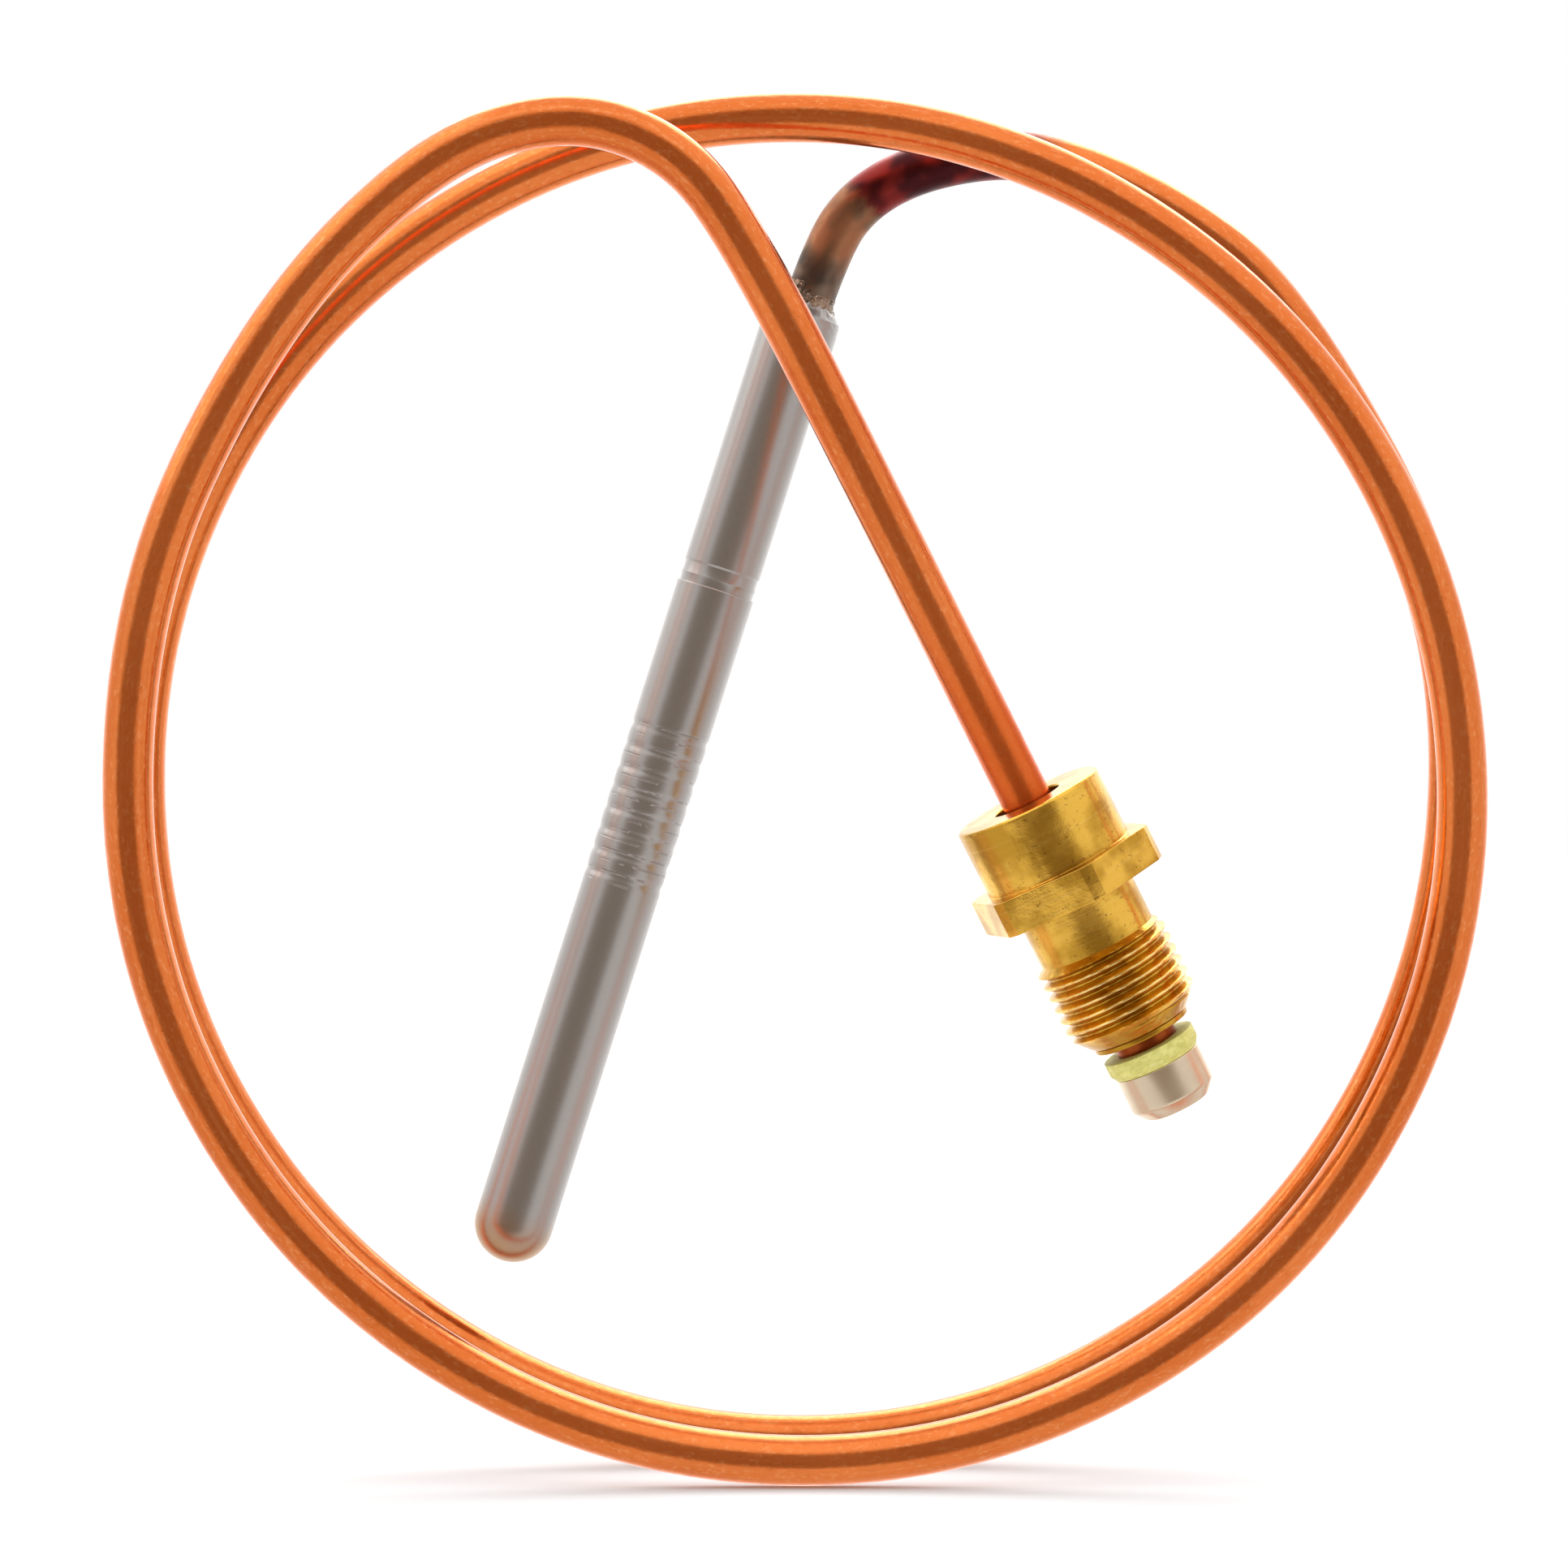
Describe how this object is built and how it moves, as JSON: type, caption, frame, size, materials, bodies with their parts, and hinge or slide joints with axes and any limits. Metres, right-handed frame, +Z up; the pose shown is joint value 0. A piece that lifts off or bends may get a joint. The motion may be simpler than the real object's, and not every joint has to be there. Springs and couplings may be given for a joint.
{
  "type": "thermocouple",
  "caption": "Gas-burner thermocouple: steel probe with rolled rings, soft copper lead in an upright loop, and a free-turning threaded brass nut behind an insulated contact.",
  "frame": {"origin": "middle of the footprint, at the lowest point of the upright loop", "axes": "+Z up, +X to the right along the loop as seen from the side that the nut is on, +Y through the loop, away from that side"},
  "size_m": [0.0882, 0.0192, 0.0882],
  "materials": {
    "stainless": "satin drawn stainless steel",
    "constantan": "copper-nickel alloy, drawn",
    "ceramic": "fired white ceramic",
    "copper": "bright annealed copper",
    "glass_braid": "woven glass fibre",
    "cement": "set refractory cement",
    "braze": "braze metal, dulled by heat",
    "brass": "turned brass",
    "fibre": "pale resin-bonded fibre",
    "contact": "tinned brass, turned",
    "solder": "solder"
  },
  "bodies": {
    "lead_assembly": {"hot_sheath": "stainless", "cold_shell": "stainless", "hot_junction": "stainless", "thermo_rod": "constantan", "front_insulator": "ceramic", "middle_insulator": "ceramic", "rear_insulator": "ceramic", "cold_ferrule": "copper", "cold_sleeve": "glass_braid", "cement_plug": "cement", "root_braze": "braze", "end_cap": "copper", "insulating_washer": "fibre", "contact_tip": "contact", "contact_solder": "solder", "lead_wire": "copper", "lead_braid": "glass_braid", "lead_tube": "copper"},
    "ring": {"slip_ring": "brass"},
    "nut": {"connector_nut": "brass"}
  },
  "joints": [
    {"name": "nut_slide", "type": "slide", "parent": "lead_assembly", "child": "ring", "axis": [0.4463, 0.1074, -0.8884], "range_m": [-0.018, 0.0006]},
    {"name": "nut_spin", "type": "hinge", "parent": "ring", "child": "nut", "pos_m": [0.01433, -0.00397, 0.04311], "axis": [0.4463, 0.1074, -0.8884], "continuous": true}
  ]
}
